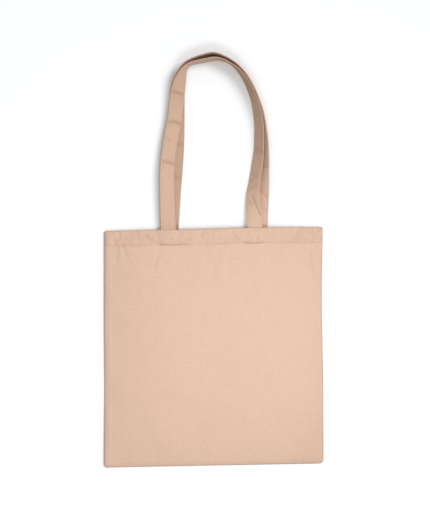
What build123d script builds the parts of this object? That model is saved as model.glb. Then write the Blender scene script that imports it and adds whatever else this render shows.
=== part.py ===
"""A canvas tote bag lying flat on its back panel, with its two long handles laid out above the mouth.

Row frame, in millimetres: +X to the bag's right, +Y from the bottom seam towards the mouth, +Z up through the
front panel. The origin is the middle of the back panel's outer face, which lies on the table.

The body is two cut panels, sewn together along both sides and the bottom with the seam turned inside, and open
at the mouth, where each panel is turned in as a hem. Each handle is one folded strap, sewn by its two ends to
the inside of a hem. A strap's sewn ends are solids of their own, because the strap folds where it leaves the
mouth. Every row of stitching is a separate thread lying on the cloth.
"""

from build123d import *
import math
import os

# Body
WIDTH = 380.0
HEIGHT = 415.0
SKEW = 0.0155  # the laid bag leans: how far an edge across the bag climbs per millimetre to the right
BOTTOM_CORNER = 9.0
MOUTH_CORNER = 1.5
CLOTH = 0.55
SEAM_TURN = 9.0  # seam allowance, turned inside along the sides and the bottom
HEM_DEPTH = 28.0
HEM_LAYERS = 3

# How far the front panel stands off the table
EDGE_RISE = 2.9  # top of the front panel along the side and bottom seams
MOUTH_EDGE_EXTRA = 1.1  # more at the mouth's corners, where two hems lie on each other
CROWN = 9.0  # further rise in the middle of the panel
MOUTH_SETTLE = 0.22  # share of that rise lost again at the mouth

# Handles
STRAP_WIDTH = 26.0
STRAP_THICK = 2.0
TAB_LENGTH = 24.0  # sewn end, inside the hem
ROOT_GAP = 0.4  # between a sewn end and the loop that folds
STATIONS = 60  # cross-sections along one loop

# Threads
THREAD = 0.4
THREAD_LIFT = 0.05
HEM_STITCH_INSET = 26.0  # from the mouth
TACK_INSETS = (4.5, 23.5)  # the two short rows across each sewn end, from the mouth
SEAM_STITCH_INSET = 1.6  # from the silhouette
EDGE_STITCH_INSET = 2.5  # from a strap's edge
OVERLOCK_WIDTH = 0.7

MOUTH_Y = HEIGHT / 2
HALF_WIDTH = WIDTH / 2
HEM_THICK = HEM_LAYERS * CLOTH
TURNED_THICK = 2 * CLOTH
SEAM_STITCH_Z = 1.3
REACH = 8.0  # how far the panel's surface runs past the silhouette before it is trimmed
GRID = 23  # points each way through which the front panel's surface passes
TALL = 60.0  # height of the columns that trim a surface

# Routes of the handles: each point is where the strap's inner edge lies, as x, y beyond the mouth and height,
# and then how far the strap leans up from flat on the table, in degrees, its outer edge being the high one.
FRONT_ROUTE = [
    (-65.5, 0.4, 6.6, 0), (-66.5, 26, 5.2, 2), (-67.5, 60, 4.0, 4), (-67.5, 104, 3.6, 5),
    (-62.5, 146, 3.6, 5), (-54.5, 188, 3.6, 5), (-51, 222, 3.6, 9), (-49.5, 246, 3.5, 19),
    (-46.5, 266, 3.0, 45), (-36, 280.5, 1.6, 76), (-18, 287.5, 0.5, 87), (2, 290.5, 0.3, 90),
    (20, 288.5, 0.3, 90), (35.5, 278.5, 0.3, 84), (50, 258.5, 0.3, 74), (62, 231, 0.3, 65),
    (69.5, 198, 0.3, 59), (71.8, 162, 0.3, 52), (69.5, 124, 0.3, 47), (63.5, 88, 0.5, 41),
    (58.8, 58, 1.6, 31), (57.8, 28, 4.2, 13), (58.8, 0.4, 6.6, 0),
]
BACK_ROUTE = [
    (-61.5, 0.4, 1.8, 0), (-59.5, 26, 0.6, 1), (-57, 60, 0.3, 1), (-53.5, 104, 0.3, 1),
    (-51.3, 146, 0.3, 1), (-50.5, 188, 0.3, 2), (-50.5, 222, 0.3, 7), (-50.5, 248, 0.3, 18),
    (-49.5, 272, 0.3, 46), (-42, 289, 0.3, 78), (-20, 296.5, 0.3, 88), (2, 299.5, 0.3, 90),
    (22, 296.5, 0.3, 90), (40, 284.5, 0.3, 85), (55.5, 264, 0.3, 76), (69, 234, 0.3, 67),
    (77.5, 200, 0.3, 60), (81, 162, 0.3, 52), (79.5, 124, 0.3, 44), (75.5, 88, 0.3, 31),
    (71, 58, 0.3, 14), (68, 28, 0.6, 3), (67, 0.4, 1.8, 0),
]
TAB_EDGES = {"front": (FRONT_ROUTE[0][0], FRONT_ROUTE[-1][0]), "back": (BACK_ROUTE[0][0], BACK_ROUTE[-1][0])}


def skewed(x, y):
    """A point of the square bag, where it lies once the bag leans."""
    return (x, y + SKEW * x)


def front_height(x, y):
    """Top of the front panel over a point of the table."""
    across = abs(x) / HALF_WIDTH
    up = (y - SKEW * x + MOUTH_Y) / HEIGHT
    edge = EDGE_RISE + MOUTH_EDGE_EXTRA * max(up, 0) ** 8
    rise = (1 - across**3) * (1 - abs(1 - up) ** 3 * (1 if up < 1 else -1))
    return edge + CROWN * rise * (1 - MOUTH_SETTLE * max(up, 0) ** 6)


def outline(inset=0.0, top_inset=0.0):
    """The bag's silhouette on the table, or the same outline taken in from the seams and the mouth."""
    side, low, high = HALF_WIDTH - inset, -MOUTH_Y + inset, MOUTH_Y - top_inset
    corners = [skewed(-side, low), skewed(side, low), skewed(side, high), skewed(-side, high)]
    face = make_face(Polyline(*corners, close=True))
    lower = face.vertices().sort_by(Axis.Y)[:2]
    upper = face.vertices().sort_by(Axis.Y)[2:]
    face = fillet(lower, max(BOTTOM_CORNER - inset, 1.0))
    return fillet([face.vertices().sort_by_distance(v)[0] for v in upper], MOUTH_CORNER)


def column(face, low=-TALL / 2, high=TALL / 2):
    """A solid that stands on a flat outline, from one height to another."""
    return extrude(face.moved(Location((0, 0, low))), amount=high - low, dir=(0, 0, 1))


def block(x0, x1, y0, y1, low=-TALL / 2, high=TALL / 2):
    """A column over a four-sided patch of the leaning bag."""
    corners = [skewed(x0, y0), skewed(x1, y0), skewed(x1, y1), skewed(x0, y1)]
    return column(make_face(Polyline(*corners, close=True)), low, high)


def front_surface():
    """The front panel's outer surface, a little larger than the bag."""
    span_x, span_y = HALF_WIDTH + REACH, MOUTH_Y + REACH
    xs = [span_x * (2 * i / (GRID - 1) - 1) for i in range(GRID)]
    ys = [span_y * (2 * j / (GRID - 1) - 1) for j in range(GRID)]
    points = [[Vector(x, y, front_height(x, y)) for y in ys] for x in xs]
    return Face.make_surface_from_array_of_points(points)


FRONT_SURFACE = front_surface()


def front_skin(low, high, region):
    """The layer between two offsets from the front panel's outer surface, cut to a column."""
    layer = extrude(FRONT_SURFACE.moved(Location((0, 0, low))), amount=high - low, dir=(0, 0, 1))
    return layer & region


def back_panel():
    """Flat cloth with its turned-in border and the deeper hem at the mouth."""
    sheet = column(outline(), 0, CLOTH)
    border = column(outline(), CLOTH, TURNED_THICK) - column(outline(SEAM_TURN), CLOTH, TURNED_THICK)
    hem = block(-HALF_WIDTH, HALF_WIDTH, MOUTH_Y - HEM_DEPTH, MOUTH_Y, CLOTH, HEM_THICK)
    return sheet + border + (hem & column(outline()))


def front_panel():
    """The crowned front cloth, with the same turned-in border and hem under it."""
    overlap = CLOTH / 2
    sheet = front_skin(-CLOTH, 0, column(outline()))
    ring = column(outline()) - column(outline(SEAM_TURN, HEM_DEPTH / 2))
    border = front_skin(-TURNED_THICK, -overlap, ring)
    hem_region = block(-HALF_WIDTH, HALF_WIDTH, MOUTH_Y - HEM_DEPTH, MOUTH_Y) & column(outline())
    hem = front_skin(-HEM_THICK, -overlap, hem_region)
    return sheet + border + hem


def front_tab(edge_x):
    """A sewn end of the front handle, against the inside of the front hem. edge_x is its inner edge."""
    outer_x = edge_x - STRAP_WIDTH if edge_x < 0 else edge_x + STRAP_WIDTH
    patch = block(min(edge_x, outer_x), max(edge_x, outer_x), MOUTH_Y - TAB_LENGTH, MOUTH_Y - ROOT_GAP / 2)
    top = -HEM_THICK - THREAD_LIFT
    return front_skin(top - STRAP_THICK, top, patch)


def back_tab(edge_x):
    """A sewn end of the back handle, lying on the inside of the back hem."""
    outer_x = edge_x - STRAP_WIDTH if edge_x < 0 else edge_x + STRAP_WIDTH
    low = HEM_THICK + THREAD_LIFT
    x0, x1 = min(edge_x, outer_x), max(edge_x, outer_x)
    return block(x0, x1, MOUTH_Y - TAB_LENGTH, MOUTH_Y - ROOT_GAP / 2, low, low + STRAP_THICK)


def along(route, count):
    """Evenly timed points of a smooth curve through a route, each x, y, height, lean."""
    knots = [0.0]
    for p, q in zip(route, route[1:]):
        knots.append(knots[-1] + math.dist(p[:3], q[:3]))
    last = len(route) - 1
    slopes = []
    for i in range(len(route)):
        before, after = max(i - 1, 0), min(i + 1, last)
        gap = knots[after] - knots[before]
        slopes.append([(b - a) / gap for a, b in zip(route[before], route[after])])
    found = []
    for n in range(count):
        t = knots[-1] * n / (count - 1)
        i = min(max(sum(k <= t for k in knots) - 1, 0), last - 1)
        span = knots[i + 1] - knots[i]
        u = (t - knots[i]) / span
        start, leave = 2 * u**3 - 3 * u**2 + 1, u**3 - 2 * u**2 + u
        end, arrive = 3 * u**2 - 2 * u**3, u**3 - u**2
        found.append([
            start * p + leave * span * m + end * q + arrive * span * k
            for p, m, q, k in zip(route[i], slopes[i], route[i + 1], slopes[i + 1])
        ])
    return found


def strap_frames(route, count=STATIONS):
    """(inner edge point, direction along, direction across, direction out of the upper face) per station."""
    rows = along(route, count)
    places = [Vector(x, MOUTH_Y + SKEW * x + y, z) for x, y, z, _ in rows]
    frames = []
    for i, row in enumerate(rows):
        ahead = (places[min(i + 1, count - 1)] - places[max(i - 1, 0)]).normalized()
        if i in (0, count - 1):  # square to the mouth, where the sewn end carries on
            ahead = Vector(0, math.copysign(1, ahead.Y), 0)
        outward = Vector(-ahead.Y, ahead.X, 0).normalized()
        lean = math.radians(row[3])
        across = outward * math.cos(lean) + Vector(0, 0, math.sin(lean))
        out = ahead.cross(across).normalized()
        frames.append((places[i], ahead, across, out))
    return frames


def strap_bar(frames, inset, width, lift, thick):
    """A bar that follows a strap: inset and width are across it from its inner edge, lift and thick are
    measured from its lower face."""
    corners = [(inset, lift), (inset + width, lift), (inset + width, lift + thick), (inset, lift + thick)]
    lines = [[place + across * a + out * b for place, _, across, out in frames] for a, b in corners]
    steps = [n / (len(frames) - 1) for n in range(len(frames))]
    edges = [Edge.make_spline(line, parameters=steps) for line in lines]
    sides = [Face.make_surface_from_curves(edges[i], edges[(i + 1) % 4]) for i in range(4)]
    ends = [Face(Wire.make_polygon([line[n] for line in lines], close=True)) for n in (0, -1)]
    return Solid(Shell(sides + ends)).fix()


def handle(route):
    return strap_bar(strap_frames(route), 0, STRAP_WIDTH, 0, STRAP_THICK)


def handle_stitch(route, inset):
    """Thread along one edge of a strap, on its upper face. inset is the thread's middle."""
    return strap_bar(strap_frames(route), inset - THREAD / 2, THREAD, STRAP_THICK + THREAD_LIFT, THREAD / 2)


def front_row(x0, x1, inset):
    """A row of stitching across the front panel, so far below the mouth."""
    patch = block(x0, x1, MOUTH_Y - inset - THREAD / 2, MOUTH_Y - inset + THREAD / 2)
    return front_skin(THREAD_LIFT, THREAD_LIFT + THREAD / 2, patch)


def back_row(x0, x1, inset, low):
    """A row of stitching across the inside of the back hem or of a strap's end on it."""
    y = MOUTH_Y - inset
    return block(x0, x1, y - THREAD / 2, y + THREAD / 2, low, low + THREAD / 2)


def front_tacks(edge_x):
    """The two short rows that hold one end of the front handle."""
    outer_x = edge_x - STRAP_WIDTH if edge_x < 0 else edge_x + STRAP_WIDTH
    x0, x1 = min(edge_x, outer_x) + 1, max(edge_x, outer_x) - 1
    return Compound(children=[front_row(x0, x1, inset) for inset in TACK_INSETS])


def back_tacks(edge_x):
    outer_x = edge_x - STRAP_WIDTH if edge_x < 0 else edge_x + STRAP_WIDTH
    x0, x1 = min(edge_x, outer_x) + 1, max(edge_x, outer_x) - 1
    low = HEM_THICK + STRAP_THICK + 2 * THREAD_LIFT
    return Compound(children=[back_row(x0, x1, inset, low) for inset in TACK_INSETS])


def back_hem_stitch():
    """Runs between the strap ends and outside them, where the hem itself is on top."""
    edges = TAB_EDGES["back"]
    gap = 1.0
    spans = [
        (-HALF_WIDTH + 4, edges[0] - STRAP_WIDTH - gap),
        (edges[0] + gap, edges[1] - gap),
        (edges[1] + STRAP_WIDTH + gap, HALF_WIDTH - 4),
    ]
    low = HEM_THICK + THREAD_LIFT
    return Compound(children=[back_row(a, b, HEM_STITCH_INSET, low) for a, b in spans])


def side_thread(side, inset, width, low, high, top_gap):
    """A straight thread up one side of the bag, lying on the back panel's turned-in edge."""
    x = side * (HALF_WIDTH - inset)
    start = -MOUTH_Y + SEAM_TURN + BOTTOM_CORNER / 2
    return block(x - width / 2, x + width / 2, start, MOUTH_Y - top_gap, low, high)


def bottom_thread(inset, width, low, high):
    y = -MOUTH_Y + inset
    half = HALF_WIDTH - SEAM_TURN - BOTTOM_CORNER / 2
    return block(-half, half, y - width / 2, y + width / 2, low, high)


def parts():
    seam_low, seam_high = SEAM_STITCH_Z - THREAD / 4, SEAM_STITCH_Z + THREAD / 4
    lock_inset = SEAM_TURN + OVERLOCK_WIDTH / 2 + THREAD_LIFT
    lock_low, lock_high = CLOTH + THREAD_LIFT, TURNED_THICK + THREAD / 2
    far_edge = STRAP_WIDTH - EDGE_STITCH_INSET
    made = {
        "back_panel": back_panel(),
        "front_panel": front_panel(),
        "front_handle": handle(FRONT_ROUTE),
        "back_handle": handle(BACK_ROUTE),
        "front_handle_inner_stitch": handle_stitch(FRONT_ROUTE, EDGE_STITCH_INSET),
        "front_handle_outer_stitch": handle_stitch(FRONT_ROUTE, far_edge),
        "back_handle_inner_stitch": handle_stitch(BACK_ROUTE, EDGE_STITCH_INSET),
        "back_handle_outer_stitch": handle_stitch(BACK_ROUTE, far_edge),
        "front_hem_stitch": front_row(-HALF_WIDTH + 2, HALF_WIDTH - 2, HEM_STITCH_INSET),
        "back_hem_stitch": back_hem_stitch(),
        "bottom_seam_stitch": bottom_thread(SEAM_STITCH_INSET, THREAD, seam_low, seam_high),
        "bottom_overlock": bottom_thread(lock_inset, OVERLOCK_WIDTH, lock_low, lock_high),
    }
    for side, sign in (("left", -1), ("right", 1)):
        made[f"{side}_seam_stitch"] = side_thread(
            sign, SEAM_STITCH_INSET, THREAD, seam_low, seam_high, HEM_DEPTH + 1
        )
        made[f"{side}_overlock"] = side_thread(
            sign, lock_inset, OVERLOCK_WIDTH, lock_low, lock_high, HEM_DEPTH + 1
        )
        edge = 0 if side == "left" else 1
        made[f"front_{side}_tab"] = front_tab(TAB_EDGES["front"][edge])
        made[f"back_{side}_tab"] = back_tab(TAB_EDGES["back"][edge])
        made[f"front_{side}_tack"] = front_tacks(TAB_EDGES["front"][edge])
        made[f"back_{side}_tack"] = back_tacks(TAB_EDGES["back"][edge])
    return made


def main():
    os.makedirs("parts", exist_ok=True)
    for name, shape in parts().items():
        export_step(shape, f"parts/{name}.step")


main()
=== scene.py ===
"""The canvas tote bag's cloth, straps and stitching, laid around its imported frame.

Lengths are millimetres in the code that shapes the cloth, and become metres where a mesh is made. A panel
is worked out flat, as (u, v): u across the bag from its middle, v up from the bottom seam. A strap is worked
out as (s, t): s along it from its left root, t across it from its inner edge.
"""

import functools
import math

import bmesh
import bpy
import numpy as np
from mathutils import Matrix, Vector, noise


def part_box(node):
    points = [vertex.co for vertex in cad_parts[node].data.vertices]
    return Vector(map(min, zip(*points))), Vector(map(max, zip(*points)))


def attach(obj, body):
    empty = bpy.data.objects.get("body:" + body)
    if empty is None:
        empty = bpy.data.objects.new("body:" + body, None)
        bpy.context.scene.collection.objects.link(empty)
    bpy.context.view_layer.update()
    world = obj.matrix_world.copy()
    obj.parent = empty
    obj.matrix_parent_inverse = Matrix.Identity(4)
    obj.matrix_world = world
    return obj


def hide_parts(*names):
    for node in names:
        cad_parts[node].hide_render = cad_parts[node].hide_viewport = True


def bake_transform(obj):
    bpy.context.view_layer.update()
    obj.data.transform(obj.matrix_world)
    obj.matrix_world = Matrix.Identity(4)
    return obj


MM = 0.001

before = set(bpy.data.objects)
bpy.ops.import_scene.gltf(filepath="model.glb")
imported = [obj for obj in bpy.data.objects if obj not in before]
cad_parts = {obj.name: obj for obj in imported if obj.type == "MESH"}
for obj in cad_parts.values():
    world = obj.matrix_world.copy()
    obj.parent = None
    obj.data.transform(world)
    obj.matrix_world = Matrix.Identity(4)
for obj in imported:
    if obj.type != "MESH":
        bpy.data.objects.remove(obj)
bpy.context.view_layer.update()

# ---------------------------------------------------------------- the bag's sizes

PANEL_LOW, PANEL_HIGH = [[c / MM for c in corner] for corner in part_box("back_panel")]
HALF_WIDTH = (PANEL_HIGH[0] - PANEL_LOW[0]) / 2
BODY_HEIGHT = 414.5
MOUTH_Y = 206.5  # the mouth's middle, on the table
LEAN_LOW, LEAN_HIGH = 0.0185, 0.0265  # how far the bottom edge and the mouth climb to the right, per mm
BOTTOM_CORNER, MOUTH_CORNER = 7.0, 2.0  # radii

CLOTH = 0.55  # one layer
HEM_DEPTH = 29.0
HEM_THICK = 1.6
HEM_STITCH = 26.5  # from the mouth
SEAM_Z = 1.35  # the seam's height over the table, along the silhouette
SEAM_TURN = 9.0  # cloth turned in at a seam
ROLL = 3.2  # how far in from the seam the cloth turns down to it
FRONT_EDGE_RISE = 1.2  # front cloth over the seam, past that roll
EDGE_ROUND = 2.4  # its further rise, over the next centimetre
CROWN = 7.4  # and the rise from there to the bag's middle
MOUTH_SETTLE = 0.22  # the share of that crown that is lost at the mouth
MOUTH_EXTRA = 1.1  # the mouth's own rise, where the two hems lie on each other

STRAP_WIDTH = 26.0
STRAP_THICK = 1.75
TAB_LENGTH = 24.0  # a strap's sewn end, inside the hem

# Where each strap's inner edge lies, from its left root to its right one: x, y beyond the mouth, height, and
# the strap's lean from flat, in degrees.
FRONT_ROUTE = [
    (-65.5, 0.0, 7.0, 3), (-66.9, 26, 5.2, 11), (-68.2, 60, 4.0, 18), (-68.4, 104, 3.6, 20),
    (-63.5, 146, 3.6, 19), (-55.5, 188, 3.6, 18), (-51.6, 222, 3.6, 19), (-49.5, 246, 3.5, 28),
    (-48.2, 262, 3.2, 46), (-47.2, 275, 2.6, 67), (-44.6, 283.0, 1.6, 82), (-40, 287.1, 1.1, 86),
    (-32, 289.4, 0.8, 86), (-16, 292.4, 0.4, 85), (2, 294.9, 0.4, 86), (16, 293.9, 0.4, 90),
    (30, 287.4, 0.4, 91), (43, 274.2, 0.4, 83), (54.5, 255, 0.4, 75), (64.5, 229.6, 0.4, 68),
    (71.5, 196, 0.4, 58), (72.8, 162, 0.4, 53), (70.2, 124, 0.4, 48), (64, 88, 0.5, 42),
    (58.8, 58, 1.6, 31), (58.1, 28, 4.2, 11), (59.2, 0.0, 7.0, 0),
]
BACK_ROUTE = [
    (-60.9, 0.0, 2.0, 0), (-59.1, 26, 0.6, 1), (-57, 60, 0.4, 1), (-53.5, 104, 0.4, 1),
    (-51.0, 146, 0.4, 1), (-50.3, 188, 0.4, 2), (-50.3, 222, 0.4, 6), (-50.3, 247, 0.4, 24),
    (-50.3, 262.6, 0.4, 44), (-49.8, 275, 0.4, 63), (-46.5, 285.3, 0.4, 77), (-37, 292.6, 0.4, 82),
    (-20, 299.3, 0.4, 84), (-2, 302.6, 0.4, 84), (10, 300.6, 0.4, 85), (24, 293.6, 0.4, 85),
    (38, 283, 0.4, 83), (52, 266.7, 0.4, 79), (63.5, 243.6, 0.4, 74), (71.5, 218, 0.4, 67),
    (76.8, 190, 0.4, 59), (78.8, 158, 0.4, 51), (78.8, 124, 0.4, 44), (75.5, 88, 0.4, 32),
    (72.2, 58, 0.4, 16), (69.9, 28, 0.6, 3), (69.1, 0.0, 2.0, 0),
]
LEFT_ROOT, RIGHT_ROOT = FRONT_ROUTE[0][0], FRONT_ROUTE[-1][0]
STRAP_STEP = 2.2  # between cross-sections
EDGE_STITCH = 2.6  # from a strap's edge


# ---------------------------------------------------------------- small helpers


def soft_step(x, start, end):
    t = np.clip((x - start) / (end - start), 0.0, 1.0)
    return t * t * (3 - 2 * t)


def bell(x, width):
    return np.exp(-((x / width) ** 2))


def ripple(a, b, seed, octaves=1):
    """Smooth noise of two coordinates already divided by their wavelengths, about -1 to 1."""
    a, b = np.broadcast_arrays(a, b)
    found = np.zeros(a.size)
    for i, (p, q) in enumerate(zip(a.ravel(), b.ravel())):
        place = Vector((p, q, seed))
        found[i] = noise.fractal(place, 0.5, 2.0, octaves) if octaves > 1 else noise.noise(place)
    return found.reshape(a.shape)


def fold_line(x, y, points, width, tip=9.0):
    """1 along a polyline on the table and 0 away from it, fading out at both ends."""
    best = np.full(np.shape(x), 1e9)
    where = np.zeros(np.shape(x))
    run = 0.0
    lengths = [math.dist(p, q) for p, q in zip(points, points[1:])]
    for (px, py), (qx, qy), length in zip(points, points[1:], lengths):
        t = np.clip(((x - px) * (qx - px) + (y - py) * (qy - py)) / length**2, 0, 1)
        gap = np.hypot(x - px - t * (qx - px), y - py - t * (qy - py))
        nearer = gap < best
        best = np.where(nearer, gap, best)
        where = np.where(nearer, run + t * length, where)
        run += length
    fade = soft_step(where, 0, tip) * (1 - soft_step(where, run - tip, run))
    return bell(best, width) * fade


def spaced(start, end, step, borders=(0.0, 0.35, 0.8, 1.4, 2.1, 3.0, 4.2, 5.8, 8.0)):
    """Grid lines, close together near both ends."""
    count = round((end - start - 2 * borders[-1]) / step) + 1
    inner = np.linspace(start + borders[-1], end - borders[-1], count)
    low = [start + b for b in borders[:-1]]
    high = [end - b for b in reversed(borders[:-1])]
    return np.array([*low, *inner, *high])


def add_piece(name, points, faces, finish, uv=None):
    """A mesh object from points in mm, with its finish and its slot, and its flat layout if it has one."""
    mesh = bpy.data.meshes.new(name)
    mesh.from_pydata((np.asarray(points) * MM).tolist(), [], faces)
    if uv is not None:
        layer = mesh.uv_layers.new(name="cloth")
        corners = np.empty(len(mesh.loops), dtype=np.int32)
        mesh.loops.foreach_get("vertex_index", corners)
        layer.data.foreach_set("uv", (np.asarray(uv)[corners] * MM).ravel())
    mesh.validate()
    mesh.polygons.foreach_set("use_smooth", [True] * len(mesh.polygons))
    mesh.materials.append(finish)
    piece = bpy.data.objects.new(name, mesh)
    bpy.context.scene.collection.objects.link(piece)
    return piece


def set_attribute(piece, name, values):
    attribute = piece.data.attributes.new(name, "FLOAT", "POINT")
    attribute.data.foreach_set("value", np.asarray(values, dtype=np.float32).ravel())


def normals_of(grid):
    """Unit normals of a grid of points, rows by columns by 3."""
    across = np.gradient(grid, axis=1)
    up = np.gradient(grid, axis=0)
    normal = np.cross(across, up)
    return normal / np.maximum(np.linalg.norm(normal, axis=2, keepdims=True), 1e-9)


# ---------------------------------------------------------------- finishes


class Signal:
    """An output of a node, which takes part in arithmetic: each operation adds its Math node."""

    def __init__(self, finish, socket):
        self.finish = finish
        self.socket = socket

    def _math(self, operation, first, second=None):
        values = {0: first} if second is None else {0: first, 1: second}
        return self.finish.add("ShaderNodeMath", {"operation": operation}, values)

    def __add__(self, other):
        return self._math("ADD", self, other)

    def __radd__(self, other):
        return self._math("ADD", other, self)

    def __sub__(self, other):
        return self._math("SUBTRACT", self, other)

    def __rsub__(self, other):
        return self._math("SUBTRACT", other, self)

    def __mul__(self, other):
        return self._math("MULTIPLY", self, other)

    def __rmul__(self, other):
        return self._math("MULTIPLY", other, self)

    def __gt__(self, other):
        return self._math("GREATER_THAN", self, other)

    def sine(self):
        return self._math("SINE", self)

    def size(self):
        return self._math("ABSOLUTE", self)

    def power(self, exponent):
        return self._math("POWER", self, exponent)


class Finish:
    """A material's nodes, added one by one, around its one Principled shader."""

    def __init__(self, name, roughness, sheen=0.0, sheen_roughness=0.5, specular=0.3):
        self.material = bpy.data.materials.new(name)
        self.material.use_nodes = True
        self.tree = self.material.node_tree
        self.shader = self.tree.nodes["Principled BSDF"]
        constants = {
            "Roughness": roughness,
            "Sheen Weight": sheen,
            "Sheen Roughness": sheen_roughness,
            "Specular IOR Level": specular,
        }
        for socket, value in constants.items():
            self.shader.inputs[socket].default_value = value

    def add(self, kind, settings=None, values=None, output=0):
        """A node of that type, set up, with its inputs set or linked; gives one of its outputs."""
        node = self.tree.nodes.new(kind)
        for key, value in (settings or {}).items():
            setattr(node, key, value)
        self.feed(node, values or {})
        return Signal(self, node.outputs[output])

    def feed(self, node, values):
        for key, value in values.items():
            if isinstance(value, Signal):
                self.tree.links.new(value.socket, node.inputs[key])
            else:
                node.inputs[key].default_value = value

    def split(self, vector):
        node = self.tree.nodes.new("ShaderNodeSeparateXYZ")
        self.feed(node, {0: vector})
        return [Signal(self, out) for out in node.outputs]

    def blend_colours(self, factor, first, second):
        settings = {"data_type": "RGBA"}
        return self.add("ShaderNodeMix", settings, {0: factor, 6: first, 7: second}, output=2)

    def attribute(self, name):
        return self.add("ShaderNodeAttribute", {"attribute_name": name}, output=2)

    def noise_at(self, place, scale, detail=2.0, roughness=0.5):
        values = {"Vector": place, "Scale": scale, "Detail": detail, "Roughness": roughness}
        return self.add("ShaderNodeTexNoise", {}, values)

    def stretched(self, place, scale):
        """A place with each axis scaled on its own."""
        return self.add("ShaderNodeVectorMath", {"operation": "MULTIPLY"}, {0: place, 1: scale})

    def finish(self, values):
        self.feed(self.shader, values)
        return self.material


def canvas_finish(name, ground, shade, pitch=0.62):
    """Plain-weave cotton: warp and weft yarns, pitch mm apart, uneven in thickness and tone, laid out on the
    piece's own flat layout. ground is the yarns' colour. shade is the painted shade in the hollows between
    the yarns, and also the dark end of their uneven tone."""
    cloth = Finish(name, roughness=0.92, sheen=0.12, sheen_roughness=0.6, specular=0.15)
    place = cloth.add("ShaderNodeUVMap", {"uv_map": "cloth"})
    across, along, _ = cloth.split(place)

    # Uneven spinning: each yarn wanders a little and swells and thins along its length
    warp_slub = cloth.noise_at(cloth.stretched(place, (900.0, 60.0, 1.0)), 1.0)
    weft_slub = cloth.noise_at(cloth.stretched(place, (60.0, 900.0, 1.0)), 1.0)
    turn = math.pi / (pitch * MM)
    warp = (across * turn + weft_slub * 1.1).sine()
    weft = (along * turn + warp_slub * 1.1).sine()
    warp_on_top = (warp * weft) > 0.0
    # Each yarn is lightest along its middle and turns to the shade colour at its sides: painted shade between
    # the yarns
    yarn = warp_on_top * warp.size() + (1.0 - warp_on_top) * weft.size()

    grain = cloth.noise_at(place, 240.0, detail=4.0, roughness=0.65)
    cloud = cloth.noise_at(place, 46.0, detail=4.0, roughness=0.55)
    tone = 0.42 * yarn.power(0.6) + 1.05 * grain + 0.25 * cloud - 0.22
    colour = cloth.blend_colours(tone, shade, ground)

    # Painted shade darkens and warms the folded edges, the seams and the line where a strap's two folded
    # edges meet
    edge = cloth.attribute("edge")
    rim = tuple(c * k for c, k in zip(shade[:3], (0.86, 0.74, 0.66))) + (1.0,)
    colour = cloth.blend_colours(edge * 0.75, colour, rim)
    # Painted shade darkens the creases, the hem's folds and pleats, the cloth rolling down to the seams, the
    # straps' roots and their stretches turned from the light; on the straps' left legs the darkening is
    # partly their own tone
    darkening = tuple(c * k for c, k in zip(shade[:3], (0.70, 0.65, 0.55))) + (1.0,)
    colour = cloth.blend_colours(cloth.attribute("shade_and_tone") * 0.8, colour, darkening)
    flecks = cloth.noise_at(place, 520.0, detail=1.0)
    colour = cloth.blend_colours((flecks > 0.79) * 0.3, colour, (0.36, 0.22, 0.13, 1.0))

    fuzz = cloth.noise_at(place, 2600.0, detail=2.0)
    height = yarn.power(0.7) + grain * 0.8 + fuzz * 0.35
    bump = cloth.add("ShaderNodeBump", {}, {"Strength": 0.55, "Distance": 0.00016, "Height": height})
    rough = 0.86 + 0.12 * fuzz
    return cloth.finish({"Base Color": colour, "Roughness": rough, "Normal": bump})


def thread_finish(name, light, dark, twist=1600.0):
    """Sewing thread: plies that wind round the thread, seen as a fine slanting ripple, with painted shade in
    the grooves between them.
    """
    thread = Finish(name, roughness=0.7, sheen=0.1, specular=0.3)
    place = thread.add("ShaderNodeTexCoord", output=3)
    x, y, z = thread.split(place)
    plies = ((x + y + z * 1.4) * twist * math.tau).sine() * 0.5 + 0.5
    fibre = thread.noise_at(place, 3000.0)
    # Painted shade: darker in the grooves between the plies
    colour = thread.blend_colours(0.65 * plies + 0.35 * fibre, dark, light)
    bump = thread.add("ShaderNodeBump", {}, {"Strength": 0.5, "Distance": 0.00008, "Height": plies})
    return thread.finish({"Base Color": colour, "Roughness": 0.6 + 0.2 * fibre, "Normal": bump})


CANVAS = canvas_finish("canvas", (0.620, 0.433, 0.329, 1.0), (0.510, 0.336, 0.244, 1.0))
STRAP_CANVAS = canvas_finish("strap_canvas", (0.603, 0.418, 0.318, 1.0), (0.487, 0.318, 0.229, 1.0))
SEWING_THREAD = thread_finish("sewing_thread", (0.62, 0.43, 0.32, 1.0), (0.44, 0.29, 0.20, 1.0))
OVERLOCK_THREAD = thread_finish("overlock_thread", (0.70, 0.57, 0.46, 1.0), (0.50, 0.37, 0.27, 1.0))


# ---------------------------------------------------------------- the two panels


def mouth_climb(x):
    """How much farther up the table the mouth lies at x than MOUTH_Y: it climbs to the right and levels off,
    and sags a little in its middle."""
    past = np.maximum(x - 15.0, 0.0)
    return LEAN_HIGH * (np.minimum(x, 15.0) + 50.0 * (1 - np.exp(-past / 50.0))) - 0.7 * bell(x + 10, 60.0)


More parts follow.
